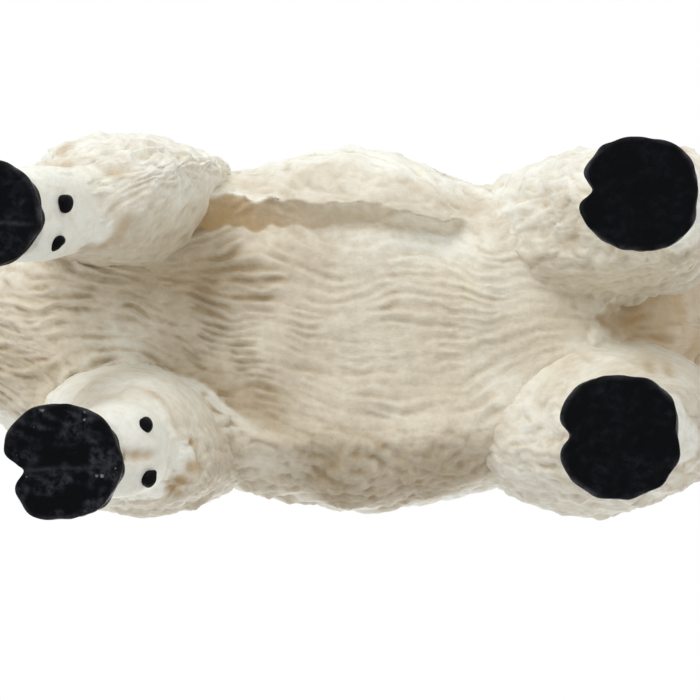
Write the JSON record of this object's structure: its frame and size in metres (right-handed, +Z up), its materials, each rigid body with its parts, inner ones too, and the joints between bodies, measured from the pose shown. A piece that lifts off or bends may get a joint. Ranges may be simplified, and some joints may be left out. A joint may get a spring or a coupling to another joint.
{
  "type": "goat figurine",
  "caption": "Standing long-haired white goat figurine in painted PVC, with black cloven hooves and horns; limbs, horns, ears and tail plug into the body.",
  "frame": {"origin": "on the ground under the middle of the bounding box, so the soles stand on z = 0", "axes": "+X forward, towards the head; +Y to the goat's left; +Z up"},
  "size_m": [0.0895, 0.0291, 0.0796],
  "materials": {
    "ivory_paint": "matte ivory paint over PVC, with a tan wash left in the hollows of the fleece",
    "black_paint": "semi-gloss black paint over PVC, with pin holes and scuffs",
    "horn_paint": "satin black-brown paint over ringed PVC",
    "eye_paint": "gloss black paint"
  },
  "bodies": {
    "root": {"torso": "ivory_paint", "head": "ivory_paint", "beard": "ivory_paint", "tail": "ivory_paint", "left_ear": "ivory_paint", "right_ear": "ivory_paint", "left_horn": "horn_paint", "right_horn": "horn_paint", "left_eye": "eye_paint", "right_eye": "eye_paint", "front_left_leg": "ivory_paint", "front_right_leg": "ivory_paint", "hind_left_leg": "ivory_paint", "hind_right_leg": "ivory_paint", "front_left_hoof": "black_paint", "front_right_hoof": "black_paint", "hind_left_hoof": "black_paint", "hind_right_hoof": "black_paint", "front_left_dewclaw_inner": "black_paint", "front_left_dewclaw_outer": "black_paint", "front_right_dewclaw_inner": "black_paint", "front_right_dewclaw_outer": "black_paint", "hind_left_dewclaw_inner": "black_paint", "hind_left_dewclaw_outer": "black_paint", "hind_right_dewclaw_inner": "black_paint", "hind_right_dewclaw_outer": "black_paint"}
  },
  "joints": []
}
